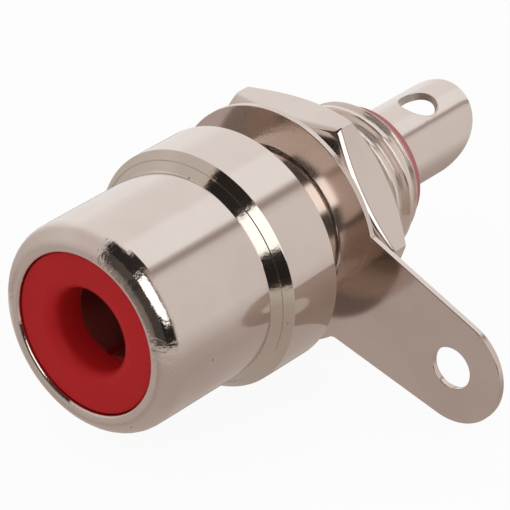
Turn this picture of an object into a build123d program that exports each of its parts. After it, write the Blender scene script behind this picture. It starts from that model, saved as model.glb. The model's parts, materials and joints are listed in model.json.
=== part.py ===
from build123d import *
import os
from math import cos, radians, sin, tan

# Panel socket for a phono plug, in millimetres.
# The socket's axis is Y. Its mouth faces -Y and its solder tag points to +Y.
# The plane Y = 0 is the back of the flange, where the socket meets the front of the panel.

# Walls from the plug's pin outwards: they give an 8.3 mm barrel and a 6.35 mm shank
pin_diameter = 3.2
contact_strip = 0.3
contact_gap = 0.01
front_insulator_wall = 1.28
front_insulator_gap = 0.01
barrel_wall = 0.95
rear_insulator_wall = 0.38
rear_insulator_gap = 0.01
shank_wall = 0.875

# Barrel that the plug's collar grips
barrel_length = 5.89
lip_round = 0.8
mouth_edge = 0.1

# Flange that stands on the panel
flange_overhang = 0.61
flange_thickness = 2.76
flange_front_edge = 0.28
flange_back_edge = 0.05
flange_root_cone = 0.3

# Shank that goes through the panel
shank_length = 7.5
shank_end_taper_length = 0.65
shank_end_taper_depth = 0.5
insulator_seat_depth = 0.5
thread_pitch = 25.4 / 32
thread_depth = 0.27
thread_groove_width = 0.68
plain_neck = 2.0

# Front insulator in the barrel
front_insulator_recess = 0.13
front_insulator_edge = 0.08
pin_entry_clearance = 0.05
pin_entry_round = 0.5
pin_entry_depth = 1.5

# Rear insulator, a flanged bush in the shank
rear_flange_overhang = 0.325
rear_flange_thickness = 0.28
rear_flange_edge = 0.05
insulator_split = 0.05

# Centre contact, rolled from strip, with its solder tag
contact_mouth_edge = 0.12
contact_seam = 0.35
contact_slit_length = 5.0
contact_tube_behind = 0.25
tag_length = 5.0
tag_lip_drop = 0.185
tag_root_round = 0.35
tag_end_round = 3.0
tag_hole_diameter = 1.56
tag_hole_inset = 2.19
tag_turn = 82.0

# Ground lug
panel_space = 2.01
lug_thickness = 0.25
lug_disc_diameter = 9.62
lug_bore_gap = 0.27
lug_reach = 9.1
lug_end_diameter = 4.5
lug_root_width = 5.8
lug_wire_hole_diameter = 1.7
lug_swing = -19.4

# Hex nut
nut_play = 0.02
nut_across_flats = 8.8
nut_thickness = 2.16
nut_bore_gap = 0.025
nut_bore_edge = 0.2
nut_front_land = 0.2
nut_front_chamfer = 25.0
nut_back_land = 0.65
nut_back_chamfer = 35.0
nut_turn = 1.85

# Radii and stations along the axis
pin_radius = pin_diameter / 2
contact_radius = pin_radius + contact_strip
contact_seat_radius = contact_radius + contact_gap
sleeve_radius = contact_seat_radius + front_insulator_wall
mouth_radius = sleeve_radius + front_insulator_gap
barrel_radius = mouth_radius + barrel_wall
flange_radius = barrel_radius + flange_overhang
bush_radius = contact_seat_radius + rear_insulator_wall
shank_bore_radius = bush_radius + rear_insulator_gap
shank_radius = shank_bore_radius + shank_wall
rear_flange_radius = shank_bore_radius + rear_flange_overhang
barrel_front = -(flange_thickness + barrel_length)
insulator_front = barrel_front + front_insulator_recess
contact_front = insulator_front + pin_entry_depth
rear_insulator_back = shank_length + rear_flange_thickness
contact_tube_end = rear_insulator_back + contact_tube_behind
tag_tip = rear_insulator_back + tag_length
lug_front = panel_space
lug_back = lug_front + lug_thickness
nut_front = lug_back + nut_play
nut_back = nut_front + nut_thickness

# The shank's thread is drawn as one V groove a turn, behind the plain neck
full_thread_end = shank_length - shank_end_taper_length
thread_outline = []
groove = plain_neck
while groove + thread_groove_width < full_thread_end:
    thread_outline += [
        (shank_radius, groove),
        (shank_radius - thread_depth, groove + thread_groove_width / 2),
        (shank_radius, groove + thread_groove_width),
    ]
    groove += thread_pitch


# Shell: lipped barrel, flange and shank, turned from one bar
with BuildPart() as shell:
    with BuildSketch(Plane.XY):
        with BuildLine():
            front_face = Polyline(
                (mouth_radius, -insulator_seat_depth),
                (mouth_radius, barrel_front + mouth_edge),
                (mouth_radius + mouth_edge, barrel_front),
                (barrel_radius - lip_round, barrel_front),
            )
            lip = CenterArc((barrel_radius - lip_round, barrel_front + lip_round), lip_round, 270, 90)
            Polyline(
                lip @ 1,
                (barrel_radius, -flange_thickness - flange_root_cone),
                (barrel_radius + flange_root_cone, -flange_thickness),
                (flange_radius - flange_front_edge, -flange_thickness),
                (flange_radius, -flange_thickness + flange_front_edge),
                (flange_radius, -flange_back_edge),
                (flange_radius - flange_back_edge, 0),
                (shank_radius, 0),
                *thread_outline,
                (shank_radius, full_thread_end),
                (shank_radius - shank_end_taper_depth, shank_length),
                (shank_bore_radius, shank_length),
                (shank_bore_radius, -insulator_seat_depth),
                front_face @ 0,
            )
        make_face()
    revolve(axis=Axis.Y)
shell.part.label = "shell"


# Front insulator: a stepped sleeve with a rounded way in for the plug's pin
with BuildPart() as front_insulator:
    entry_radius = pin_radius + pin_entry_clearance
    with BuildSketch(Plane.XY):
        with BuildLine():
            entry = CenterArc(
                (entry_radius + pin_entry_round, insulator_front + pin_entry_round),
                pin_entry_round, 180, 90,
            )
            Polyline(
                entry @ 1,
                (sleeve_radius - front_insulator_edge, insulator_front),
                (sleeve_radius, insulator_front + front_insulator_edge),
                (sleeve_radius, -insulator_seat_depth),
                (contact_seat_radius, -insulator_seat_depth),
                (contact_seat_radius, contact_front),
                (entry_radius, contact_front),
                entry @ 0,
            )
        make_face()
    revolve(axis=Axis.Y)
front_insulator.part.label = "front_insulator"


# Rear insulator: a bush that fills the shank, with a flange that covers the shank's end
with BuildPart() as rear_insulator:
    with BuildSketch(Plane.XY):
        with BuildLine():
            Polyline(
                (contact_seat_radius, -insulator_seat_depth + insulator_split),
                (bush_radius, -insulator_seat_depth + insulator_split),
                (bush_radius, shank_length),
                (rear_flange_radius, shank_length),
                (rear_flange_radius, rear_insulator_back - rear_flange_edge),
                (rear_flange_radius - rear_flange_edge, rear_insulator_back),
                (contact_seat_radius, rear_insulator_back),
                close=True,
            )
        make_face()
    revolve(axis=Axis.Y)
rear_insulator.part.label = "rear_insulator"


# Centre contact: a rolled, slit spring sleeve that runs on into a half-round solder tag
tag_out = Vector(cos(radians(tag_turn)), 0, sin(radians(tag_turn)))
tag_side = Plane(origin=(0, 0, 0), x_dir=(0, 1, 0), z_dir=(tag_out.Z, 0, -tag_out.X))
waste = 2 * contact_radius

with BuildPart() as centre_contact:
    with BuildSketch(Plane.XY):
        with BuildLine():
            Polyline(
                (pin_radius + contact_mouth_edge, contact_front),
                (contact_radius, contact_front),
                (contact_radius, tag_tip),
                (pin_radius, tag_tip),
                (pin_radius, contact_front + contact_mouth_edge),
                close=True,
            )
        make_face()
    revolve(axis=Axis.Y)

    # Side view of the tag: its lower half is cut away and its end is rounded
    with BuildSketch(tag_side):
        with BuildLine():
            drop = Line((contact_tube_end, -waste), (contact_tube_end, -tag_lip_drop - tag_root_round))
            root_bend = CenterArc(
                (contact_tube_end + tag_root_round, -tag_lip_drop - tag_root_round),
                tag_root_round, 180, -90,
            )
            rise = tag_lip_drop + contact_radius
            end_run = (tag_end_round ** 2 - (tag_end_round - rise) ** 2) ** 0.5
            lip_line = Line(root_bend @ 1, (tag_tip - end_run, -tag_lip_drop))
            tag_end = RadiusArc(lip_line @ 1, (tag_tip, contact_radius), -tag_end_round)
            Polyline(tag_end @ 1, (tag_tip + waste, contact_radius), (tag_tip + waste, -waste), drop @ 0)
        make_face()
    extrude(amount=waste, both=True, mode=Mode.SUBTRACT)

    # Seam under the sleeve, and a slit above it that lets the mouth spring open
    with BuildSketch(tag_side):
        with BuildLine():
            Polyline(
                (contact_front - waste, -waste),
                (contact_tube_end + tag_root_round, -waste),
                (contact_tube_end + tag_root_round, 0),
                (contact_front + contact_slit_length, 0),
                (contact_front + contact_slit_length, waste),
                (contact_front - waste, waste),
                close=True,
            )
        make_face()
    extrude(amount=contact_seam / 2, both=True, mode=Mode.SUBTRACT)

    # Wire hole through the crown of the tag
    with BuildSketch(Plane(origin=(0, tag_tip - tag_hole_inset, 0), x_dir=(0, 1, 0), z_dir=tag_out)):
        Circle(tag_hole_diameter / 2)
    extrude(amount=waste, mode=Mode.SUBTRACT)
centre_contact.part.label = "centre_contact"


# Ground lug: a flat stamped ring with a tapered tail and a wire hole
with BuildPart() as ground_lug:
    with BuildSketch(Plane.XZ.offset(-lug_front)):
        with Locations(Rotation(0, 0, lug_swing)):
            with BuildSketch(mode=Mode.PRIVATE) as tail_ends:
                Circle(lug_root_width / 2)
                with Locations((lug_reach, 0)):
                    Circle(lug_end_diameter / 2)
            add(make_hull(tail_ends.sketch.edges(), mode=Mode.PRIVATE))
        Circle(lug_disc_diameter / 2)
        Circle(shank_radius + lug_bore_gap, mode=Mode.SUBTRACT)
        with Locations(Rotation(0, 0, lug_swing)):
            with Locations((lug_reach, 0)):
                Circle(lug_wire_hole_diameter / 2, mode=Mode.SUBTRACT)
    extrude(amount=-lug_thickness)
ground_lug.part.label = "ground_lug"


# Hex nut, chamfered on both faces
with BuildPart() as hex_nut:
    nut_bore_radius = shank_radius + nut_bore_gap
    front_face_radius = nut_bore_radius + nut_bore_edge + nut_front_land
    back_face_radius = nut_bore_radius + nut_bore_edge + nut_back_land
    corner_radius = nut_across_flats / 2 / cos(radians(30))
    front_chamfer_drop = (corner_radius - front_face_radius) * tan(radians(nut_front_chamfer))
    back_chamfer_drop = (corner_radius - back_face_radius) * tan(radians(nut_back_chamfer))
    with BuildSketch(Plane.XZ.offset(-nut_front)):
        RegularPolygon(nut_across_flats / 2, 6, major_radius=False, rotation=nut_turn)
    extrude(amount=-nut_thickness)
    with BuildSketch(Plane.XY):
        with BuildLine():
            Polyline(
                (nut_bore_radius + nut_bore_edge, nut_front),
                (front_face_radius, nut_front),
                (corner_radius, nut_front + front_chamfer_drop),
                (corner_radius, nut_back - back_chamfer_drop),
                (back_face_radius, nut_back),
                (nut_bore_radius + nut_bore_edge, nut_back),
                (nut_bore_radius, nut_back - nut_bore_edge),
                (nut_bore_radius, nut_front + nut_bore_edge),
                close=True,
            )
        make_face()
    revolve(axis=Axis.Y, mode=Mode.INTERSECT)
hex_nut.part.label = "hex_nut"


os.makedirs("parts", exist_ok=True)
export_step(shell.part, "parts/shell.step")
export_step(front_insulator.part, "parts/front_insulator.step")
export_step(rear_insulator.part, "parts/rear_insulator.step")
export_step(centre_contact.part, "parts/centre_contact.step")
export_step(ground_lug.part, "parts/ground_lug.step")
export_step(hex_nut.part, "parts/hex_nut.step")
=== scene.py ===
import json
from math import asin, atan2, ceil, cos, hypot, pi, radians, sin, sqrt, tan

import bmesh
import bpy
from bpy.props import FloatProperty, FloatVectorProperty, IntProperty, PointerProperty
from mathutils import Matrix, Vector


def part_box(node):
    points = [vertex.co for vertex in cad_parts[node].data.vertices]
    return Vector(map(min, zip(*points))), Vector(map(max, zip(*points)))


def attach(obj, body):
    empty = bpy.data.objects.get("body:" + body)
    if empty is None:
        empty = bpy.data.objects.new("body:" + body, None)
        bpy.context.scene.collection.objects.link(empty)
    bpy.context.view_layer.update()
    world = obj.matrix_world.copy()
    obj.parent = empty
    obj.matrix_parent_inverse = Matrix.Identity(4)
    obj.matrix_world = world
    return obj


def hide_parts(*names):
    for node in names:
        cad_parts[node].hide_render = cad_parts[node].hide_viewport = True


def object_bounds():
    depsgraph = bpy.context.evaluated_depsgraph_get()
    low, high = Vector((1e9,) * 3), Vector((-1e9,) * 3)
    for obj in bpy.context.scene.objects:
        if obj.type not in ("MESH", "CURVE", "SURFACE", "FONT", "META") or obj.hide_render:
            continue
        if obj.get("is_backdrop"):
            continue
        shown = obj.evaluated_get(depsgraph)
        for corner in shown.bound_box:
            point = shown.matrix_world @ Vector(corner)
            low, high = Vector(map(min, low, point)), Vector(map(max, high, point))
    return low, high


bl_info = {
    "name": "Panel Socket",
    "version": (1, 0, 0),
    "blender": (4, 5, 0),
    "location": "View3D > Sidebar > Socket",
    "description": "Dresses a phono panel socket: plated metal, red insulators, thread, lug and nut",
    "category": "Add Mesh",
}

MM = 0.001
AXIS = Vector((0, 1, 0))
# Shade that leaves a colour as it is
PLAIN = (1.0, 1.0, 1.0)
# Width of the camera's sensor, in millimetres
SENSOR = 36
# Points that are this near, in metres, count as one
CLOSE = 1e-7

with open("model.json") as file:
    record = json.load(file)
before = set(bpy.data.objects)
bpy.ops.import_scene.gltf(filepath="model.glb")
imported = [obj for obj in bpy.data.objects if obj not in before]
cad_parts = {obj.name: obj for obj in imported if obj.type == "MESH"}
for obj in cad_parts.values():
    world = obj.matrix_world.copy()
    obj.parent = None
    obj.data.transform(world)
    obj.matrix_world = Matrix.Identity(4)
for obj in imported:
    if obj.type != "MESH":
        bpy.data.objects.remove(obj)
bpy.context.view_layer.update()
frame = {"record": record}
nodes = ("shell", "front_insulator", "rear_insulator", "centre_contact", "ground_lug", "hex_nut")
boxes = {node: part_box(node) for node in nodes}
record = frame["record"]
mounts = {mount["name"]: mount for mount in record["mounts"]}
pitch = 2 * pi / record["behaviour"]["couplings"][0]["ratio"]


def box(node):
    """Lowest and highest corner of a CAD node, in metres."""
    return boxes[node]


def mount_radius(name):
    """Radius of a round mount, in metres."""
    return mounts[name]["dims"]["r_mm"] * MM


def mount_place(name):
    """Centre of a mount, in metres."""
    return Vector(mounts[name]["pos_m"])


def mount_axis(name):
    """Direction of a mount."""
    return Vector(mounts[name]["axis"])


# Sizes


def size(name, description, millimetres):
    """A length property, given in millimetres and kept in metres."""
    return FloatProperty(
        name=name, description=description, default=millimetres * MM, min=0, unit="LENGTH", precision=5
    )


def slope(name, description, value):
    """An angle property, given in degrees and kept in radians."""
    return FloatProperty(name=name, description=description, default=radians(value), subtype="ANGLE")


def count(name, description, value):
    """A number of faces, lines or points."""
    return IntProperty(name=name, description=description, default=value, min=3)


def density(name, description, value):
    """How many marks of a pattern lie along a millimetre."""
    return FloatProperty(name=name, description=description, default=value, min=0)


def share(name, description, value):
    """A property from 0 to 1."""
    return FloatProperty(name=name, description=description, default=value, min=0, max=1, subtype="FACTOR")


def tint(name, description, value):
    """A colour property."""
    return FloatVectorProperty(
        name=name, description=description, default=value, size=3, min=0, max=2, subtype="COLOR"
    )


class SocketMeshing(bpy.types.PropertyGroup):
    """How finely the pieces are divided"""

    around: count("Around", "Faces around a turned piece", 192)
    thread_rows: count("Thread rows", "Rows of faces in one turn of thread", 24)
    ring_points: count("Ring points", "Points around the lug's ring", 120)
    lug_hole_points: count("Lug hole points", "Points around the lug's wire hole", 56)
    tag_hole_points: count("Tag hole points", "Points around the solder tag's wire hole", 64)
    end_steps: count("End steps", "Lines in the round end of the lug and of the tag", 48)
    corner_steps: count("Corner steps", "Lines in a rounded inner corner of the contact", 8)
    neck_steps: count("Neck steps", "Lines where the lug's tail meets its ring", 6)
    edge_rows: count("Edge rows", "Rows of faces in a rounded edge", 3)
    rim_rows: count("Rim rows", "Rows of faces in the rounded front rim of the nut", 4)
    arc_step: slope("Arc step", "Largest turn between two points of a rounded edge", 12)
    stamped_sharp: slope("Stamped sharp", "Least turn at an edge that is rounded on a stamped piece", 50)
    nut_sharp: slope("Nut sharp", "Least turn at an edge that is rounded on the nut", 18)
    hold: size("Edge hold", "From a rounded edge to the loop that keeps the flat beside it flat", 0.012)
    fine_edge: size("Fine edge", "Rounding of an edge that is only broken", 0.035)


class SocketShell(bpy.types.PropertyGroup):
    """Barrel, flange and shank"""

    lip_round: size("Lip round", "Outer rounding of the barrel's lip", 0.8)
    mouth_round: size("Mouth round", "Rounding where the lip meets the insulator", 0.1)
    flange_thickness: size("Flange thickness", "From the flange's back to the ring between the cones", 2.76)
    cone_width: size("Cone width", "Width of each of the two cones in front of the flange", 0.28)
    cone_lean: slope("Cone lean", "Lean of the cones' surface towards the mouth", 42)
    cone_round: size("Cone round", "Rounding where a cone meets the ring between the cones", 0.01)
    back_round: size("Back round", "Rounding of the flange's back edge", 0.06)
    bore_radius: size("Bore radius", "Radius of the bore through the shank", 2.3)
    seat_depth: size("Seat depth", "How far the mouth's floor lies in front of the flange's back", 0.5)
    shank_radius: size("Shank radius", "Radius over the shank's thread, a quarter inch across", 3.175)
    tube_start: size("Tube start", "Where the shank's threaded surface begins behind the flange", 0.1)
    tube_end: size("Tube end", "Where the shank's threaded surface ends before its end face", 0.08)


class SocketThread(bpy.types.PropertyGroup):
    """Thread of the shank and the nut"""

    depth: size("Depth", "Height of the thread", 0.3)
    crest: share("Crest", "Share of a half turn that is crest", 0.2)
    root: share("Root", "Share of a half turn that is root", 0.36)
    crest_place: size("Crest place", "Where a crest passes the X axis, measured along the socket", 6.52)
    start: size("Start", "Where the thread begins behind the flange", 2.0)
    run_out: size("Run-out", "Length over which the thread fades in", 0.35)
    end_taper_length: size("Taper length", "Length of the taper at the shank's end", 0.65)
    end_taper_depth: size("Taper depth", "How far the taper reaches in", 0.5)
    play: size("Play", "Gap between the threads of shank and nut", 0.025)


class SocketInsulators(bpy.types.PropertyGroup):
    """Red insulators at the mouth and behind the shank"""

    front_edge: size("Front edge", "Rounding of the front insulator's rim", 0.09)
    entry_clearance: size("Entry clearance", "Gap around the plug's pin in the entry", 0.05)
    entry_round: size("Entry round", "Rounding of the way in for the pin", 0.5)
    rear_edge: size("Rear edge", "Rounding of the rear insulator's rim", 0.06)
    gap: size("Gap", "Gap between an insulator and each piece that it sits in or holds", 0.01)


class SocketContact(bpy.types.PropertyGroup):
    """Rolled contact with its solder tag"""

    tube_behind: size("Tube behind", "How far the full round runs on behind the rear insulator", 0.25)
    seam: size("Seam", "Width of the seam and of the slit", 0.35)
    slit_length: size("Slit length", "Length of the slit at the mouth of the sleeve", 5.0)
    half_wrap: slope("Half wrap", "Angle from the tag's crown to its edge", 95.6)
    root_round: size("Root round", "Rounding where the tag leaves the tube", 0.35)
    tip_length: size("Tip length", "Length over which the tag's end is rounded", 2.71)
    bend_step: slope("Bend step", "Turn between two bend lines", 3)
    edge: size("Edge", "Rounding of the strip's edges", 0.05)


class SocketLug(bpy.types.PropertyGroup):
    """Ground lug"""

    disc_radius: size("Disc radius", "Outer radius of the ring", 4.81)
    bore_gap: size("Bore gap", "Gap between the ring and the shank", 0.12)
    root_radius: size("Root radius", "Half the tail's width at the ring's centre", 2.9)
    end_radius: size("End radius", "Radius of the tail's end", 2.25)
    neck_round: size("Neck round", "Rounding where the tail meets the ring", 0.35)
    edge: size("Edge", "Rounding of the stamped edges", 0.025)


class SocketNut(bpy.types.PropertyGroup):
    """Hex nut"""

    across_flats: size("Across flats", "Width across the flats", 8.8)
    front_land: size("Front land", "Flat ring between bore and bevel on the front", 0.2)
    front_bevel: slope("Front bevel", "Slope of the front bevel", 25)
    back_land: size("Back land", "Flat ring between bore and bevel on the back", 0.65)
    back_bevel: slope("Back bevel", "Slope of the back bevel", 35)
    bore_edge: size("Bore edge", "Bevel at the ends of the thread", 0.2)
    turn: slope("Turn", "Angle of the first corner from the X axis", 1.85)
    edge: size("Edge", "Rounding of the nut's edges", 0.06)
    front_edge: size("Front edge", "Rounding between the front bevel and the sides", 0.2)
    across_side: count("Across a side", "Faces across one side", 32)


class SocketFinish(bpy.types.PropertyGroup):
    """Colours and gloss of the surfaces"""

    nickel: tint("Nickel", "Colour of the plating", (0.74, 0.66, 0.61))
    stain: tint("Stain", "Colour of the plating where it is a little tarnished", (0.70, 0.62, 0.565))
    turned_gloss: share("Shell roughness", "Roughness of the turned shell", 0.09)
    stamped_gloss: share("Strip roughness", "Roughness of the lug and the contact", 0.14)
    uneven_gloss: share("Uneven roughness", "Change of roughness over the surface", 0.05)
    waviness: size("Waviness", "Height of the soft waves in the polish", 0.0016)
    ripple: size("Ripple", "Height of the fine ripples in the plating", 0.0007)
    lip_ripple: size("Lip ripple", "Height of the ripples around the lip", 0.012)
    cone_ripple: size("Cone ripple", "Height of the ripples on the cones before the flange", 0.004)
    grain: size("Grain", "Height of the fine grain of a surface", 0.00008)
    stain_density: density("Stain density", "Stains along a millimetre", 0.35)
    wave_density: density("Wave density", "Soft waves along a millimetre", 0.55)
    ripple_density: density("Ripple density", "Ripples along a millimetre", 4.5)
    grain_density: density("Grain density", "Grains along a millimetre", 6)
    pit_density: density("Pit density", "Pits along a millimetre", 0.6)
    pit_radius: share("Pit radius", "Radius of a pit, as a share of the distance between pits", 0.035)
    pit_depth: share("Pit depth", "How dark a pit is", 0.75)
    pit: tint("Pit", "Colour of the bottom of a pit", (0.175, 0.155, 0.14125))
    mask_edge: size("Mask edge", "Half the width over which one finish goes over into the next", 0.02)
    lug_shade: tint("Lug shade", "Darkening of the lug's plating", (0.95, 0.93, 0.92))
    cone_shade: tint("Cone shade", "Darkening of the two cones before the flange", (0.91, 0.92, 0.87))
    cone_mark: size("Cone mark", "How far that darkening reaches from the ring between the cones", 0.3)
    haze_gloss: share("Haze roughness", "Roughness of the hazy part of the plating", 0.5)
    shank_haze: share("Shank haze", "How hazy the shank is", 0.12)
    thread_haze: share("Thread haze", "How much hazier the thread is", 0.28)
    # Painted light: lifts the shank's plating so that its reflections read brighter
    shank_painted_light: tint("Shank shade", "Brightening of the shank's plating", (1.18, 1.19, 1.19))
    lug_haze: share("Lug haze", "How hazy the lug is", 0.06)
    sleeve_haze: share("Sleeve haze", "How hazy the inside of the sleeve is at its mouth", 0.8)
    # Painted red reflection of the insulator and painted shade inside the sleeve's mouth
    sleeve_painted_reflection: tint("Sleeve shade", "Tinge of the sleeve's inside at its mouth", (0.95, 0.30, 0.28))
    hole_haze: share("Hole haze", "How hazy the wall of the solder tag's wire hole is", 0.9)
    red: tint("Red", "Colour of the front insulator", (0.40, 0.009, 0.011))
    red_light: tint("Light red", "Paler colour of the front insulator", (0.46, 0.013, 0.015))
    pale_red: tint("Pale red", "Colour of the rear insulator", (0.44, 0.15, 0.15))
    pale_red_light: tint("Light pale red", "Paler colour of the rear insulator", (0.48, 0.18, 0.18))
    red_waviness: size("Red waviness", "Height of the soft waves in the insulators", 0.00048)
    red_wave_density: density("Red wave density", "Soft waves along a millimetre of insulator", 0.6)
    red_grain_density: density("Red grain density", "Grains along a millimetre of insulator", 9)
    red_gloss: share("Red roughness", "Roughness of the insulators", 0.45)
    red_sheen: share("Red sheen", "Strength of the reflections on the insulators", 0.12)


class SocketStudio(bpy.types.PropertyGroup):
    """Camera, floor and light"""

    camera_place: FloatVectorProperty(
        name="Camera", description="Place of the camera", subtype="TRANSLATION",
        default=(75.373 * MM, -88.813 * MM, 66.227 * MM),
    )
    look: FloatVectorProperty(
        name="Look", description="Direction in which the camera looks", subtype="DIRECTION",
        default=(-0.558, 0.6646, -0.4969),
    )
    lens: FloatProperty(
        name="Lens", description="Focal length of the lens, in millimetres", default=252.07, unit="CAMERA",
    )
    light: FloatProperty(
        name="Light", description="Strength of the soft light on matt surfaces", default=0.9, min=0,
    )
    tent_shade: tint("Tent shade", "Colour of the tent's shaded parts", (0.468, 0.402, 0.369))
    shade_tone: share("Shade tone", "Tone that has the colour of the shaded parts", 0.41)
    tent_side: tint("Tent side", "Colour of the tent's sides", (0.782, 0.736, 0.718))
    side_tone: share("Side tone", "Tone that has the colour of the sides", 0.745)
    strip_light: FloatProperty(
        name="Strip light", description="Strength of the lit strip", default=1.8, min=0,
    )
    floor_size: size("Floor size", "Half the width of the floor", 1000)
    floor_paper: tint("Floor paper", "Colour of the floor's paper", (0.8, 0.8, 0.8))
    floor_white: share("Floor white", "How far the floor is lifted to white for the camera", 0.93)


class SocketSettings(bpy.types.PropertyGroup):
    """All settings of the panel socket"""

    meshing: PointerProperty(type=SocketMeshing)
    shell: PointerProperty(type=SocketShell)
    thread: PointerProperty(type=SocketThread)
    insulators: PointerProperty(type=SocketInsulators)
    contact: PointerProperty(type=SocketContact)
    lug: PointerProperty(type=SocketLug)
    nut: PointerProperty(type=SocketNut)
    finish: PointerProperty(type=SocketFinish)
    studio: PointerProperty(type=SocketStudio)


def settings():
    """The scene's settings for the socket."""
    return bpy.context.scene.panel_socket


# Shader maths


class Value:
    """A shader socket that can be used in Python expressions."""

    def __init__(self, tree, socket):
        self.tree = tree
        self.socket = socket

    def math(self, operation, *numbers):
        """Adds a Math node for these numbers and values."""
        node = self.tree.nodes.new("ShaderNodeMath")
        node.operation = operation
        for socket, number in zip(node.inputs, numbers):
            if isinstance(number, Value):
                self.tree.links.new(number.socket, socket)
            else:
                socket.default_value = number
        return Value(self.tree, node.outputs[0])

    def __add__(self, other):
        return self.math("ADD", self, other)

    def __radd__(self, other):
        return self.math("ADD", other, self)

    def __sub__(self, other):
        return self.math("SUBTRACT", self, other)

    def __rsub__(self, other):
        return self.math("SUBTRACT", other, self)

    def __mul__(self, other):
        return self.math("MULTIPLY", self, other)

    def __rmul__(self, other):
        return self.math("MULTIPLY", other, self)

    def __truediv__(self, other):
        return self.math("DIVIDE", self, other)

    def __rtruediv__(self, other):
        return self.math("DIVIDE", other, self)

    def largest(self, other):
        """The larger of this and another value."""
        return self.math("MAXIMUM", self, other)


class Shader:
    """A node tree that is filled by short calls."""

    def __init__(self, tree):
        self.tree = tree
        self.tree.nodes.clear()

    def node(self, kind, options=None, **inputs):
        """Adds a node, sets its options, then its sockets: by name with _ for a space, or by place as in0."""
        node = self.tree.nodes.new(kind)
        for name, value in (options or {}).items():
            if name == "stops":
                ramp = node.color_ramp
                while len(ramp.elements) < len(value):
                    ramp.elements.new(1)
                for element, (place, colour) in zip(ramp.elements, value):
                    element.position = place
                    element.color = (*colour, 1) if hasattr(colour, "__len__") else (colour,) * 3 + (1,)
            else:
                setattr(node, name, value)
        for name, value in inputs.items():
            by_place = name.startswith("in") and name[2:].isdigit()
            socket = node.inputs[int(name[2:]) if by_place else name.replace("_", " ")]
            if isinstance(value, Value):
                self.tree.links.new(value.socket, socket)
            elif isinstance(value, (tuple, Vector)) and socket.type == "RGBA" and len(value) == 3:
                socket.default_value = (*value, 1)
            else:
                socket.default_value = value
        return node

    def out(self, node, name=0):
        """One output of a node."""
        return Value(self.tree, node.outputs[name])

    def value(self, kind, options=None, output=0, **inputs):
        """Adds a node and gives one output of it."""
        return self.out(self.node(kind, options, **inputs), output)

    def vector(self, operation, *vectors):
        """Adds a Vector Math node for these vectors."""
        inputs = {f"in{place}": vector for place, vector in enumerate(vectors)}
        output = "Value" if operation == "LENGTH" else "Vector"
        return self.value("ShaderNodeVectorMath", {"operation": operation}, output, **inputs)

    def parts(self, vector):
        """The three numbers of a vector."""
        node = self.node("ShaderNodeSeparateXYZ", Vector=vector)
        return [self.out(node, place) for place in range(3)]

    def from_line(self, place, start, along):
        """Distance from a line."""
        away = self.vector("SUBTRACT", place, start)
        return self.vector("LENGTH", self.vector("CROSS_PRODUCT", away, along))

    def ramp(self, value, stops):
        """Tone or colour that follows the stops of a ramp."""
        return self.value("ShaderNodeValToRGB", {"stops": stops}, Fac=value)

    def step(self, value, low, high):
        """0 below low, 1 above high and smooth between."""
        return self.value(
            "ShaderNodeMapRange", {"interpolation_type": "SMOOTHSTEP"},
            Value=value, From_Min=low, From_Max=high, To_Min=0.0, To_Max=1.0,
        )

    def blend(self, factor, first, second):
        """Mix of two surface shaders."""
        node = self.node("ShaderNodeMixShader", Fac=factor)
        self.tree.links.new(first.outputs[0], node.inputs[1])
        self.tree.links.new(second.outputs[0], node.inputs[2])
        return node

    def band(self, value, low, high, soft):
        """1 between low and high and 0 outside, with soft ends."""
        return self.step(value, low - soft, low + soft) * (1 - self.step(value, high - soft, high + soft))

    def noise(self, place, scale, detail):
        """Soft noise from 0 to 1."""
        return self.value(
            "ShaderNodeTexNoise", Vector=place, Scale=scale, Detail=float(detail), Roughness=0.5,
        )

    def spots(self, place, scale, radius):
        """1 in small spots that are spread at random."""
        near = self.value("ShaderNodeTexVoronoi", output="Distance", Vector=place, Scale=scale)
        return 1 - self.step(near, radius * 0.5, radius)

    def mix(self, factor, low, high):
        """Colour that goes from low to high."""
        return self.value(
            "ShaderNodeMix", {"data_type": "RGBA"}, "Result", in0=factor, in6=low, in7=high,
        )


# Mesh helpers


def rounded(corners, closed=True):
    """Points of a profile with (radius, station, rounding) corners, with holding points beside each arc."""
    mesh = settings().meshing
    points = []
    last_corner = len(corners) - 1
    for index, corner in enumerate(corners):
        at = Vector(corner[:2])
        if not corner[2] or not closed and index in (0, last_corner):
            points.append(at)
            continue
        before = (Vector(corners[index - 1][:2]) - at).normalized()
        after = (Vector(corners[index + 1 if index < last_corner else 0][:2]) - at).normalized()
        half = before.angle(after) / 2
        setback = corner[2] / tan(half)
        centre = at + (before + after).normalized() * corner[2] / sin(half)
        first = at + before * setback
        last = at + after * setback
        steps = max(3, ceil((pi - 2 * half) / mesh.arc_step))
        start = direction(first - centre)
        sweep = (direction(last - centre) - start + pi) % (2 * pi) - pi
        points.append(first + before * mesh.hold)
        points += arc(centre, corner[2], start, start + sweep, steps)
        points.append(last + after * mesh.hold)
    return points


def chain(bm, points, closed):
    """Vertices and edges through (radius, station) points in the XY plane."""
    verts = [bm.verts.new((point[0], point[1], 0)) for point in points]
    pairs = list(zip(verts, verts[1:] + verts[:1] if closed else verts[1:]))
    return verts + [bm.edges.new(pair) for pair in pairs]


def turned(bm, points, around, closed=True):
    """Turns a profile about the socket's axis."""
    bmesh.ops.spin(
        bm, geom=chain(bm, points, closed), cent=(0, 0, 0), axis=AXIS, angle=2 * pi,
        steps=around, use_merge=True,
    )


def direction(vector):
    """Angle of a flat vector from the first axis."""
    return atan2(vector.y, vector.x)


def polar(co):
    """Radius and angle of a point about the socket's axis."""
    return hypot(co.x, co.z), atan2(co.z, co.x)


def set_radius(vert, radius):
    """Moves a vertex straight out or in."""
    now = hypot(vert.co.x, vert.co.z)
    vert.co.x *= radius / now
    vert.co.z *= radius / now


def rim(bm, station):
    """Open edges that lie at one station along the axis."""
    return [
        edge for edge in bm.edges
        if edge.is_boundary and all(abs(vert.co.y - station) < CLOSE for vert in edge.verts)
    ]


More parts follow.
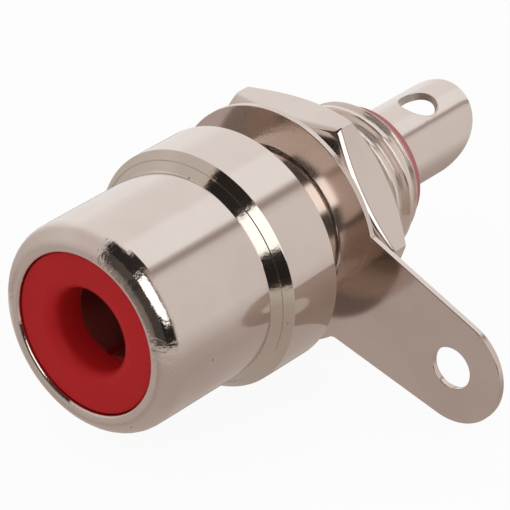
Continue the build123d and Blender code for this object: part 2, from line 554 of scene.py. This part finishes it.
def join_rims(bm, *pairs):
    """Fills the ring between the open edges at each pair of stations."""
    for first, second in pairs:
        bmesh.ops.bridge_loops(bm, edges=rim(bm, first) + rim(bm, second))


def cut(bm, place, normal, clear=False, near=CLOSE):
    """Cuts a mesh along a plane, and where clear is set takes away what lies beyond it."""
    bmesh.ops.bisect_plane(
        bm, geom=bm.verts[:] + bm.edges[:] + bm.faces[:], plane_co=place, plane_no=normal,
        clear_outer=clear, dist=near,
    )


def threaded_tube(bm, start, end, radius_at):
    """Adds a tube from start to end whose rows of faces run along a right-hand thread."""
    mesh = settings().meshing
    row = pitch / mesh.thread_rows
    near = row * 0.01
    # The tube is made a turn too long at both ends and cut off there
    spare = mesh.thread_rows + 2
    rows = ceil((end - start) / row) + 2 * spare
    points = [(MM, start + (index - spare) * row) for index in range(rows)]
    bmesh.ops.spin(
        bm, geom=chain(bm, points, closed=False), cent=(0, 0, 0), axis=AXIS, angle=2 * pi,
        dvec=AXIS * pitch / mesh.around, steps=mesh.around,
    )
    bmesh.ops.remove_doubles(bm, verts=bm.verts, dist=near)
    cut(bm, AXIS * start, -AXIS, clear=True, near=near)
    cut(bm, AXIS * end, AXIS, clear=True, near=near)
    for vert in bm.verts:
        set_radius(vert, radius_at(polar(vert.co)[1], vert.co.y))


def thread_depth(angle, station):
    """Depth of the thread below its crest at a place on it, from 0 to 1."""
    thread = settings().thread
    turn = (station - thread.crest_place) / pitch + angle / (2 * pi)
    away = abs((turn + 0.5) % 1 - 0.5) * 2
    return min(max((away - thread.crest) / (1 - thread.crest - thread.root), 0), 1)


def smooth(value):
    """Smooth step from 0 to 1."""
    value = min(max(value, 0), 1)
    return value * value * (3 - 2 * value)


def joined(bm, other):
    """Adds another mesh to bm and frees it."""
    mesh = bpy.data.meshes.new("part")
    other.to_mesh(mesh)
    other.free()
    bm.from_mesh(mesh)
    bpy.data.meshes.remove(mesh)


def shading_normal(vert):
    """Normal of a vertex: faces count by the square of their area, so that flats stay flat."""
    total = Vector()
    for face in vert.link_faces:
        total += face.normal * (face.calc_area() / MM**2) ** 2
    return total.normalized()


def finish_piece(bm, material, body, node):
    """Makes the mesh an object that rides on a body and stands for a CAD node."""
    bmesh.ops.recalc_face_normals(bm, faces=bm.faces)
    for face in bm.faces:
        face.smooth = True
    bm.normal_update()
    normals = [shading_normal(vert) for vert in bm.verts]
    mesh = bpy.data.meshes.new(f"{node}_dressed")
    bm.to_mesh(mesh)
    bm.free()
    mesh.normals_split_custom_set_from_vertices(normals)
    mesh.materials.append(material)
    piece = bpy.data.objects.new(mesh.name, mesh)
    bpy.context.scene.collection.objects.link(piece)
    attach(piece, body)
    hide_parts(node)
    return piece


# Pieces


def shell_radius(angle, station):
    """Radius of the shank's surface, with its thread and end taper."""
    thread = settings().thread
    high = box("shell")[1]
    shank = settings().shell.shank_radius
    fade = smooth((station - thread.start) / thread.run_out)
    depth = thread.depth * fade * thread_depth(angle, station)
    into_taper = (station - (high.y - thread.end_taper_length)) / thread.end_taper_length
    taper = thread.end_taper_depth * max(into_taper, 0)
    return min(shank - depth, shank - taper)


def add_shell():
    """Barrel, flange and threaded shank in one turned piece."""
    mesh, shell = settings().meshing, settings().shell
    low, high = box("shell")
    mouth = box("front_insulator")[1].x + settings().insulators.gap
    barrel = mount_radius("plug_collar")
    flange = high.x
    front = low.y
    shoulder = -shell.flange_thickness
    cone = shell.cone_width / tan(shell.cone_lean)
    fine = mesh.fine_edge
    # The tube with the thread closes the outline between neck and tip
    neck = shell.tube_start
    tip = high.y - shell.tube_end
    outline = [
        (shell.shank_radius, neck, 0),
        (shell.shank_radius, 0, fine),
        (flange, 0, shell.back_round),
        (flange, shoulder + cone, fine),
        (flange - shell.cone_width, shoulder, shell.cone_round),
        (barrel + shell.cone_width, shoulder, shell.cone_round),
        (barrel, shoulder - cone, fine),
        (barrel, front, shell.lip_round),
        (mouth, front, shell.mouth_round),
        (mouth, -shell.seat_depth, fine),
        (shell.bore_radius, -shell.seat_depth, fine),
        (shell.bore_radius, high.y, fine),
        (shell_radius(0, high.y), high.y, fine),
        (shell_radius(0, tip), tip, 0),
    ]
    bm = bmesh.new()
    threaded_tube(bm, neck + mesh.hold, tip - mesh.hold, shell_radius)
    body = bmesh.new()
    turned(body, rounded(outline, closed=False), mesh.around, closed=False)
    joined(bm, body)
    join_rims(bm, (neck + mesh.hold, neck), (tip - mesh.hold, tip))
    plate = plating("Nickel", settings().finish.turned_gloss, shell_marks_and_painted_light)
    return finish_piece(bm, plate, "socket", "shell")


def add_front_insulator():
    """Red plug in the barrel, with the rounded way in for the pin."""
    parts, mesh = settings().insulators, settings().meshing
    low, high = box("front_insulator")
    entry = mount_radius("plug_pin") + parts.entry_clearance
    seat = contact_radius() + parts.gap
    seat_front = box("centre_contact")[0].y
    fine = mesh.fine_edge
    outline = [
        (entry, low.y, parts.entry_round),
        (high.x, low.y, parts.front_edge),
        (high.x, high.y, fine),
        (seat, high.y, fine),
        (seat, seat_front, fine),
        (entry, seat_front, fine),
    ]
    bm = bmesh.new()
    turned(bm, rounded(outline), mesh.around)
    finish = settings().finish
    plastic = red_plastic("Red", finish.red, finish.red_light)
    return finish_piece(bm, plastic, "socket", "front_insulator")


def contact_radius():
    """Outer radius of the rolled contact: the solder tag's crown is that far from the axis."""
    return box("centre_contact")[1].z


def add_rear_insulator():
    """Red bush whose thin flange covers the shank's end."""
    parts, mesh = settings().insulators, settings().meshing
    low, high = box("rear_insulator")
    seat = contact_radius() + parts.gap
    bush = settings().shell.bore_radius - parts.gap
    shank_end = box("shell")[1].y
    fine = mesh.fine_edge
    outline = [
        (seat, low.y, fine),
        (bush, low.y, fine),
        (bush, shank_end, 0),
        (high.x, shank_end, fine),
        (high.x, high.y, parts.rear_edge),
        (seat, high.y, fine),
    ]
    bm = bmesh.new()
    turned(bm, rounded(outline), mesh.around)
    finish = settings().finish
    plastic = red_plastic("Pale red", finish.pale_red, finish.pale_red_light)
    return finish_piece(bm, plastic, "socket", "rear_insulator")


def arc(centre, radius, start, end, steps):
    """Points of an arc in a flat drawing."""
    return [
        Vector((
            centre[0] + radius * cos(start + (end - start) * step / steps),
            centre[1] + radius * sin(start + (end - start) * step / steps),
        ))
        for step in range(steps + 1)
    ]


def circle(centre, radius, points):
    """Points of a full circle in a flat drawing."""
    return arc(centre, radius, 0, 2 * pi, points)[:-1]


def drawn(bm, loops):
    """Flat sheet with holes in the XY plane: the first loop is its outline and the others are holes."""
    edges = []
    for loop in loops:
        verts = [bm.verts.new((point[0], point[1], 0)) for point in loop]
        edges += [bm.edges.new(pair) for pair in zip(verts, verts[1:] + verts[:1])]
    bmesh.ops.triangle_fill(bm, use_beauty=True, edges=edges)
    bmesh.ops.recalc_face_normals(bm, faces=bm.faces)


def bevel(bm, edges, width, segments):
    """Rounds edges."""
    bmesh.ops.bevel(
        bm, geom=edges, offset=width, offset_type="OFFSET", segments=segments, profile=0.5,
        affect="EDGES", clamp_overlap=True, material=-1,
    )


def soften(bm, width, least_turn):
    """Rounds the edges at which two faces turn by more than least_turn."""
    sharp = [edge for edge in bm.edges if edge.is_manifold and edge.calc_face_angle() > least_turn]
    bevel(bm, sharp, width, settings().meshing.edge_rows)


def contact_blank(radius):
    """Outline of the unrolled contact, around its crown line: slit, full round, rounded roots and tag."""
    contact, mesh = settings().contact, settings().meshing
    low, high = box("centre_contact")
    tube_end = box("rear_insulator")[1].y + contact.tube_behind
    half_seam = contact.seam / 2
    half_tube = radius * pi - half_seam
    half_tag = radius * contact.half_wrap
    bend = contact.root_round
    slit_end = low.y + contact.slit_length - half_seam
    tip = [
        Vector((half_tag * point.x, high.y - contact.tip_length + contact.tip_length * point.y))
        for point in arc((0, 0), 1, 0, pi, mesh.end_steps)
    ]
    return [
        (-half_seam, low.y),
        *arc((0, slit_end), half_seam, pi, 0, mesh.corner_steps),
        (half_seam, low.y),
        (half_tube, low.y),
        (half_tube, tube_end),
        *arc((half_tag + bend, tube_end + bend), bend, -pi / 2, -pi, mesh.corner_steps),
        *tip,
        *arc((-half_tag - bend, tube_end + bend), bend, 0, -pi / 2, mesh.corner_steps),
        (-half_tube, tube_end),
        (-half_tube, low.y),
    ]


def rolled(bm, radius, crown):
    """Rolls a flat sheet about the socket's axis, its middle line at the crown's angle and its faces out."""
    for vert in bm.verts:
        turn = crown + vert.co.x / radius
        vert.co = Vector((radius * cos(turn), vert.co.y, radius * sin(turn)))
    bmesh.ops.recalc_face_normals(bm, faces=bm.faces)
    bm.faces.ensure_lookup_table()
    face = max(bm.faces, key=lambda candidate: candidate.calc_area())
    if face.normal.dot(face.calc_center_median()) < 0:
        bmesh.ops.reverse_faces(bm, faces=bm.faces)


def add_contact():
    """Strip rolled into a slit sleeve that runs on into the half-round solder tag."""
    contact, mesh = settings().contact, settings().meshing
    radius = contact_radius()
    hole = mount_place("tag_wire_hole")
    # The hole is round as seen along its axis, so that it is wider on the unrolled sheet
    wire_hole = [
        (radius * asin(point.x / radius), hole.y + point.y)
        for point in circle((0, 0), mount_radius("tag_wire_hole"), mesh.tag_hole_points)
    ]
    bm = bmesh.new()
    drawn(bm, [contact_blank(radius), wire_hole])
    bend = radius * contact.bend_step
    bends = int((radius * pi - contact.seam / 2) / bend)
    for index in range(-bends, bends + 1):
        cut(bm, (index * bend, 0, 0), (1, 0, 0))
    rolled(bm, radius, atan2(hole.z, hole.x))
    bmesh.ops.solidify(bm, geom=bm.faces[:], thickness=radius - mount_radius("plug_pin"))
    soften(bm, contact.edge, mesh.stamped_sharp)
    plate = plating("Tinned strip", settings().finish.stamped_gloss, sleeve_marks_and_painted_light)
    return finish_piece(bm, plate, "socket", "centre_contact")


def lug_outline(reach):
    """Outline of the lug with its tail along +X: ring, rounded necks, straight sides and round end."""
    lug, mesh = settings().lug, settings().meshing
    lean = asin((lug.root_radius - lug.end_radius) / reach)
    side = Vector((sin(lean), cos(lean)))
    along = Vector((cos(lean), -sin(lean)))
    # The neck's arc touches the ring from outside and the straight side
    ring = lug.disc_radius + lug.neck_round
    off = lug.root_radius + lug.neck_round
    run = sqrt(ring**2 - off**2)
    centre = side * off + along * run
    on_ring = atan2(centre.y, centre.x)
    neck = arc(centre, lug.neck_round, on_ring + pi, pi / 2 - lean + pi, mesh.neck_steps)
    end = arc((reach, 0), lug.end_radius, pi / 2 - lean, -pi / 2 + lean, mesh.end_steps)
    other_neck = [Vector((point.x, -point.y)) for point in reversed(neck)]
    back = arc((0, 0), lug.disc_radius, -on_ring, -2 * pi + on_ring, mesh.ring_points)
    return [*neck, *end, *other_neck, *back[1:-1]]


def add_lug():
    """Stamped ground lug: flat ring with a tapered tail and a wire hole."""
    lug, mesh = settings().lug, settings().meshing
    low, high = box("ground_lug")
    reach, swing = polar(mount_place("lug_wire_hole"))
    bore = settings().shell.shank_radius + lug.bore_gap
    bm = bmesh.new()
    drawn(bm, [
        lug_outline(reach),
        circle((0, 0), bore, mesh.ring_points),
        circle((reach, 0), mount_radius("lug_wire_hole"), mesh.lug_hole_points),
    ])
    for vert in bm.verts:
        distance, turn = hypot(vert.co.x, vert.co.y), atan2(vert.co.y, vert.co.x) + swing
        vert.co = Vector((distance * cos(turn), low.y, distance * sin(turn)))
    walls = bmesh.ops.extrude_face_region(bm, geom=bm.faces[:])
    raised = [part for part in walls["geom"] if isinstance(part, bmesh.types.BMVert)]
    bmesh.ops.translate(bm, verts=raised, vec=AXIS * (high.y - low.y))
    bmesh.ops.recalc_face_normals(bm, faces=bm.faces)
    soften(bm, lug.edge, mesh.stamped_sharp)
    plate = plating("Lug plate", settings().finish.stamped_gloss, lug_marks)
    return finish_piece(bm, plate, "lug", "ground_lug")


def hex_radius(angle):
    """Distance from the axis to the nut's side at an angle."""
    nut = settings().nut
    away = (angle - nut.turn) % (pi / 3) - pi / 6
    return nut.across_flats / 2 / cos(away)


def nut_mouth():
    """Radius of the bore at the nut's faces."""
    return settings().shell.shank_radius + settings().thread.play + settings().nut.bore_edge


def nut_bore(angle, station):
    """Radius of the nut's threaded bore with its bevelled ends."""
    low, high = box("hex_nut")
    depth = settings().thread.depth * thread_depth(angle, station)
    countersink = nut_mouth() - min(station - low.y, high.y - station)
    return max(nut_mouth() - settings().nut.bore_edge - depth, countersink)


def add_nut():
    """Hex nut with bevelled faces and a threaded bore."""
    mesh, nut = settings().meshing, settings().nut
    low, high = box("hex_nut")
    mouth = nut_mouth()
    front_ring = mouth + nut.front_land
    back_ring = mouth + nut.back_land
    # The nut starts round and much too wide
    wide = nut.across_flats
    outline = [
        (mouth, low.y), (front_ring, low.y), (wide, low.y),
        (wide, high.y), (back_ring, high.y), (mouth, high.y),
    ]
    bm = bmesh.new()
    turned(bm, outline, 6 * nut.across_side, closed=False)
    bmesh.ops.rotate(bm, verts=bm.verts, cent=(0, 0, 0), matrix=Matrix.Rotation(-nut.turn, 3, AXIS))
    # Its outer rims move in to the hexagon and along the two bevels
    front_rim = set()
    for vert in bm.verts:
        distance, angle = polar(vert.co)
        if distance < wide / 2:
            continue
        side = hex_radius(angle)
        set_radius(vert, side)
        if vert.co.y < (low.y + high.y) / 2:
            vert.co.y = low.y + (side - front_ring) * tan(nut.front_bevel)
            front_rim.add(vert)
        else:
            vert.co.y = high.y - (side - back_ring) * tan(nut.back_bevel)
    bmesh.ops.recalc_face_normals(bm, faces=bm.faces)
    bevel(bm, [edge for edge in bm.edges if front_rim.issuperset(edge.verts)], nut.front_edge, mesh.rim_rows)
    soften(bm, nut.edge, mesh.nut_sharp)
    bore = bmesh.new()
    threaded_tube(bore, low.y + mesh.hold, high.y - mesh.hold, nut_bore)
    joined(bm, bore)
    join_rims(bm, (low.y + mesh.hold, low.y), (high.y - mesh.hold, high.y))
    plate = plating("Nut plate", settings().finish.turned_gloss, no_marks)
    return finish_piece(bm, plate, "nut", "hex_nut")


# Materials


def new_material(name):
    """An empty procedural material and its shader."""
    material = bpy.data.materials.new(name)
    material.use_nodes = True
    return material, Shader(material.node_tree)


def finish_material(shader, surface):
    """Joins a surface shader to the material's output."""
    output = shader.node("ShaderNodeOutputMaterial")
    shader.tree.links.new(surface.outputs[0], output.inputs["Surface"])


def plating(name, roughness, marks):
    """Polished nickel plate: faint stains, pits, soft waves and ripples, and the marks of one piece.

    The marks give the shade by which the colour is multiplied, which on the shank and in the sleeve's mouth
    is painted light, the haze and the height of the ripples.
    """
    finish = settings().finish
    material, shader = new_material(name)
    place = shader.value("ShaderNodeTexCoord", output="Object")
    shade, haze, ripple_height = marks(shader, place)
    cloud = shader.noise(place, finish.stain_density / MM, 3)
    wave = shader.noise(place, finish.wave_density / MM, 2)
    ripple = shader.noise(place, finish.ripple_density / MM, 3)
    grain = shader.noise(place, finish.grain_density / MM, 3)
    pits = shader.spots(place, finish.pit_density / MM, finish.pit_radius)
    stained = shader.mix(shader.step(cloud, 0.4, 0.75), tuple(finish.nickel), tuple(finish.stain))
    # The marks' shade, with the painted light of shank and sleeve, is multiplied into the colour here
    colour = shader.value(
        "ShaderNodeMix", {"data_type": "RGBA", "blend_type": "MULTIPLY"}, "Result",
        in0=1.0, in6=shader.mix(pits * finish.pit_depth, stained, tuple(finish.pit)), in7=shade,
    )
    height = wave * finish.waviness + ripple * ripple_height + grain * finish.grain
    bump = shader.value("ShaderNodeBump", Height=height, Distance=1.0, Strength=1.0, output="Normal")
    gloss = cloud * finish.uneven_gloss + (roughness - finish.uneven_gloss / 2)
    polished, dull = (
        shader.node("ShaderNodeBsdfPrincipled", Base_Color=colour, Metallic=1.0, Roughness=rough, Normal=bump)
        for rough in (gloss, finish.haze_gloss)
    )
    finish_material(shader, shader.blend(haze, polished, dull))
    return material


def no_marks(shader, place):
    """Plating that is the same all over."""
    return PLAIN, 0.0, settings().finish.ripple


def lug_marks(shader, place):
    """The stamped lug is a little darker and hazier."""
    finish = settings().finish
    return tuple(finish.lug_shade), finish.lug_haze, finish.ripple


def shell_marks_and_painted_light(shader, place):
    """The shank is hazier and lighter by painted light, the cones are greyer, and cones and lip are more
    rippled.
    """
    finish, shell, thread = settings().finish, settings().shell, settings().thread
    station = shader.parts(place)[1]
    front = box("shell")[0].y
    shoulder = -shell.flange_thickness
    cones = shader.band(station, shoulder - finish.cone_mark, shoulder + finish.cone_mark, finish.mask_edge)
    shank = shader.step(station, finish.mask_edge, finish.mask_edge * 4)
    lip = 1 - shader.step(station, front + shell.lip_round / 2, front + shell.lip_round * 1.3)
    threaded = shader.step(station, thread.start, thread.start + 0.4 * MM)
    # Painted light lifts the shank's plating so that its reflections read brighter; the cones are made greyer
    shade = shader.mix(cones, shader.mix(shank, PLAIN, tuple(finish.shank_painted_light)), tuple(finish.cone_shade))
    ripple = finish.ripple + lip * finish.lip_ripple + cones * finish.cone_ripple
    return shade, shank * finish.shank_haze + threaded * finish.thread_haze, ripple


def sleeve_marks_and_painted_light(shader, place):
    """The sleeve's inside is dull at its mouth and has painted red reflection and painted shade there; the
    tag's wire hole's wall is dull.
    """
    finish = settings().finish
    station = shader.parts(place)[1]
    wall = mount_radius("plug_pin")
    distance = shader.from_line(place, Vector(), AXIS)
    inside = 1 - shader.step(distance, wall + 0.05 * MM, wall + 0.15 * MM)
    mouth = box("centre_contact")[0].y
    inside_mouth = inside * (1 - shader.step(station, mouth + 1.5 * MM, mouth + 3 * MM))
    # Painted red reflection of the insulator and painted shade inside the sleeve's mouth
    shade = shader.mix(inside_mouth, PLAIN, tuple(finish.sleeve_painted_reflection))
    reach = shader.from_line(place, mount_place("tag_wire_hole"), mount_axis("tag_wire_hole"))
    edge = mount_radius("tag_wire_hole") + finish.mask_edge
    hole_wall = 1 - shader.step(reach, edge, edge + 0.03 * MM)
    haze = (inside_mouth * finish.sleeve_haze).largest(hole_wall * finish.hole_haze)
    return shade, haze, (1 - hole_wall) * finish.ripple


def red_plastic(name, red, red_light):
    """Moulded red plastic with soft waves and a fine grain."""
    finish = settings().finish
    material, shader = new_material(name)
    place = shader.value("ShaderNodeTexCoord", output="Object")
    cloud = shader.noise(place, finish.red_wave_density / MM, 3)
    grain = shader.noise(place, finish.red_grain_density / MM, 2)
    colour = shader.mix(cloud, tuple(red), tuple(red_light))
    height = cloud * finish.red_waviness + grain * finish.grain
    bump = shader.value("ShaderNodeBump", Height=height, Distance=1.0, Strength=1.0, output="Normal")
    surface = shader.node(
        "ShaderNodeBsdfPrincipled", Base_Color=colour, Roughness=finish.red_gloss,
        Specular_IOR_Level=finish.red_sheen, Normal=bump,
    )
    finish_material(shader, surface)
    return material


# Stage


def ray_kinds(shader):
    """Whether a ray comes from the camera, from a mirroring surface or through a clear one."""
    path = shader.node("ShaderNodeLightPath")
    return [shader.out(path, f"Is {kind} Ray") for kind in ("Camera", "Glossy", "Transmission")]


# Tone of the tent's walls at each turn, as the tent function measures it
WALL_TONES = (
    (-180, 0.60), (-120, 0.44), (-36, 0.44), (-6, 0.40), (3, 0.46), (16, 0.73), (45, 0.74), (48, 0.66),
    (50.5, 0.33), (52.5, 0.36), (55, 1.0), (70.5, 1.0), (73, 0.90), (95, 0.90), (104, 0.98), (124, 0.88),
    (140, 0.80), (180, 0.60),
)


def tent_tone(shader, turn, lean):
    """Tone of the tent: walls, the dark opening around the camera with its foot, and the soft light in it."""
    walls = shader.ramp(turn / 360 + 0.5, [(place / 360 + 0.5, tone) for place, tone in WALL_TONES])
    walls = walls * (1 - shader.step(lean, 12, 40) * shader.step(turn, 50, 84) * 0.3)
    walls = walls * (1 - shader.step(lean, 62, 78) * 0.15)
    opening = shader.band(turn, 12, 77.5, 1.8) * shader.step(lean, 9, 20)
    opening = opening * (1 - shader.step(lean, 43, 47) * 0.06 - shader.step(lean, 64, 76) * 0.25)
    soft_light = shader.band(turn, 25, 50, 3) * (1 - shader.step(lean, 14, 24)) * 0.6
    foot = shader.band(turn, 53.5, 66, 2.5) * shader.step(lean, 1.5, 7) * (1 - shader.step(lean, 30, 40))
    tone = walls * (1 - (opening * (1 - soft_light)).largest(foot) * 0.975)
    # Straight in front of the mouth the tone is even
    front = shader.step(lean - shader.band(turn, 10, 80, 3) * 7, 75, 81)
    return tone + front * (0.47 - tone)


def tent(shader):
    """Colour of the white tent that the metal mirrors, and where its lit strip is.

    Each part of the tent has the place of the surface that shows it to the camera of the photo: the turn
    is the angle about the socket's axis from +X to +Z, and the lean is the angle towards the mouth. Both
    are in degrees.
    """
    studio = settings().studio
    ray = shader.value("ShaderNodeTexCoord", output="Generated")
    middle = shader.vector("ADD", ray, -Vector(studio.look).normalized())
    across, along, up = shader.parts(shader.vector("NORMALIZE", middle))
    forward = along * -1.0
    turn = up.math("ARCTAN2", up, across) * (180 / pi)
    lean = forward.math("ARCSINE", forward) * (180 / pi)
    tone = tent_tone(shader, turn, lean)
    # What lies behind the socket is dark, as the lug shows it by way of the flange's back
    backdrop = 0.13 + 0.14 * shader.step(shader.parts(ray)[2], -0.51, -0.47)
    behind = 1 - shader.step(shader.vector("LENGTH", middle), 0.1, 0.22)
    tone = tone + behind * (backdrop - tone)
    colour = shader.ramp(tone, [
        (0, (0, 0, 0)), (studio.shade_tone, studio.tent_shade),
        (studio.side_tone, studio.tent_side), (1, PLAIN),
    ])
    strip_start = 25 + 6 * shader.step(lean, 36, 40)
    return colour, shader.band(turn, strip_start, 52.5, 2) * shader.band(lean, 21, 44.5, 2)


def add_world():
    """Light tent: plain soft light for matt surfaces and its walls, opening and strip for the metal."""
    studio = settings().studio
    world = bpy.data.worlds.new("Studio")
    bpy.context.scene.world = world
    world.use_nodes = True
    shader = Shader(world.node_tree)
    camera, mirrored, through = ray_kinds(shader)
    soft = shader.mix(camera.largest(through), (studio.light,) * 3, PLAIN)
    walls, strip = tent(shader)
    lit = shader.mix(strip, walls, (studio.strip_light,) * 3)
    colour = shader.mix(mirrored, soft, lit)
    background = shader.node("ShaderNodeBackground", Color=colour, Strength=1.0)
    output = shader.node("ShaderNodeOutputWorld")
    shader.tree.links.new(background.outputs[0], output.inputs["Surface"])


def add_floor():
    """White floor that keeps a faint shadow, and through which the metal mirrors the tent."""
    studio = settings().studio
    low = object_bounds()[0]
    bm = bmesh.new()
    bmesh.ops.create_grid(bm, x_segments=1, y_segments=1, size=studio.floor_size)
    bmesh.ops.translate(bm, verts=bm.verts, vec=(0, 0, low.z))
    mesh = bpy.data.meshes.new("floor")
    bm.to_mesh(mesh)
    bm.free()
    floor = bpy.data.objects.new("floor", mesh)
    bpy.context.scene.collection.objects.link(floor)
    floor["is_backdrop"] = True
    material, shader = new_material("Floor")
    camera, mirrored, through = ray_kinds(shader)
    paper = shader.node("ShaderNodeBsdfDiffuse", Color=tuple(studio.floor_paper))
    glow = shader.node("ShaderNodeEmission", Color=PLAIN, Strength=1.0)
    clear = shader.node("ShaderNodeBsdfTransparent")
    white = shader.blend(camera.largest(through) * studio.floor_white, paper, glow)
    finish_material(shader, shader.blend(mirrored, white, clear))
    floor.data.materials.append(material)


def add_stage():
    """Camera, floor and light."""
    studio = settings().studio
    scene = bpy.context.scene
    camera = bpy.data.objects.new("Camera", bpy.data.cameras.new("Camera"))
    scene.collection.objects.link(camera)
    camera.location = studio.camera_place
    camera.rotation_mode = "QUATERNION"
    camera.rotation_quaternion = Vector(studio.look).to_track_quat("-Z", "Y")
    camera.data.lens = studio.lens
    camera.data.sensor_width = SENSOR
    camera.data.clip_start = MM
    scene.camera = camera
    scene.view_settings.view_transform = "Standard"
    add_floor()
    add_world()


class SOCKET_OT_shell(bpy.types.Operator):
    """Add the barrel, flange and threaded shank"""

    bl_idname = "socket.add_shell"
    bl_label = "Shell"

    def execute(self, context):
        add_shell()
        return {"FINISHED"}


class SOCKET_OT_insulators(bpy.types.Operator):
    """Add the front and rear insulators"""

    bl_idname = "socket.add_insulators"
    bl_label = "Insulators"

    def execute(self, context):
        add_front_insulator()
        add_rear_insulator()
        return {"FINISHED"}


class SOCKET_OT_contact(bpy.types.Operator):
    """Add the rolled contact with its solder tag"""

    bl_idname = "socket.add_contact"
    bl_label = "Contact"

    def execute(self, context):
        add_contact()
        return {"FINISHED"}


class SOCKET_OT_lug(bpy.types.Operator):
    """Add the ground lug"""

    bl_idname = "socket.add_lug"
    bl_label = "Ground Lug"

    def execute(self, context):
        add_lug()
        return {"FINISHED"}


class SOCKET_OT_nut(bpy.types.Operator):
    """Add the hex nut"""

    bl_idname = "socket.add_nut"
    bl_label = "Nut"

    def execute(self, context):
        add_nut()
        return {"FINISHED"}


class SOCKET_OT_stage(bpy.types.Operator):
    """Add the camera, floor and light"""

    bl_idname = "socket.add_stage"
    bl_label = "Stage"

    def execute(self, context):
        add_stage()
        return {"FINISHED"}


class VIEW3D_PT_panel_socket(bpy.types.Panel):
    """Lists the socket's pieces in the sidebar"""

    bl_label = "Panel Socket"
    bl_idname = "VIEW3D_PT_panel_socket"
    bl_space_type = "VIEW_3D"
    bl_region_type = "UI"
    bl_category = "Socket"

    def draw(self, context):
        for operator in OPERATORS:
            self.layout.operator(operator.bl_idname)


GROUPS = (
    SocketMeshing, SocketShell, SocketThread, SocketInsulators, SocketContact, SocketLug, SocketNut,
    SocketFinish, SocketStudio, SocketSettings,
)
OPERATORS = (
    SOCKET_OT_shell, SOCKET_OT_insulators, SOCKET_OT_contact, SOCKET_OT_lug, SOCKET_OT_nut, SOCKET_OT_stage,
)


def register():
    for group in (*GROUPS, *OPERATORS, VIEW3D_PT_panel_socket):
        bpy.utils.register_class(group)
    bpy.types.Scene.panel_socket = PointerProperty(type=SocketSettings)


def unregister():
    del bpy.types.Scene.panel_socket
    for group in reversed((*GROUPS, *OPERATORS, VIEW3D_PT_panel_socket)):
        bpy.utils.unregister_class(group)


def main():
    register()
    bpy.ops.socket.add_shell()
    bpy.ops.socket.add_insulators()
    bpy.ops.socket.add_contact()
    bpy.ops.socket.add_lug()
    bpy.ops.socket.add_nut()
    bpy.ops.socket.add_stage()


if __name__ == "__main__":
    main()
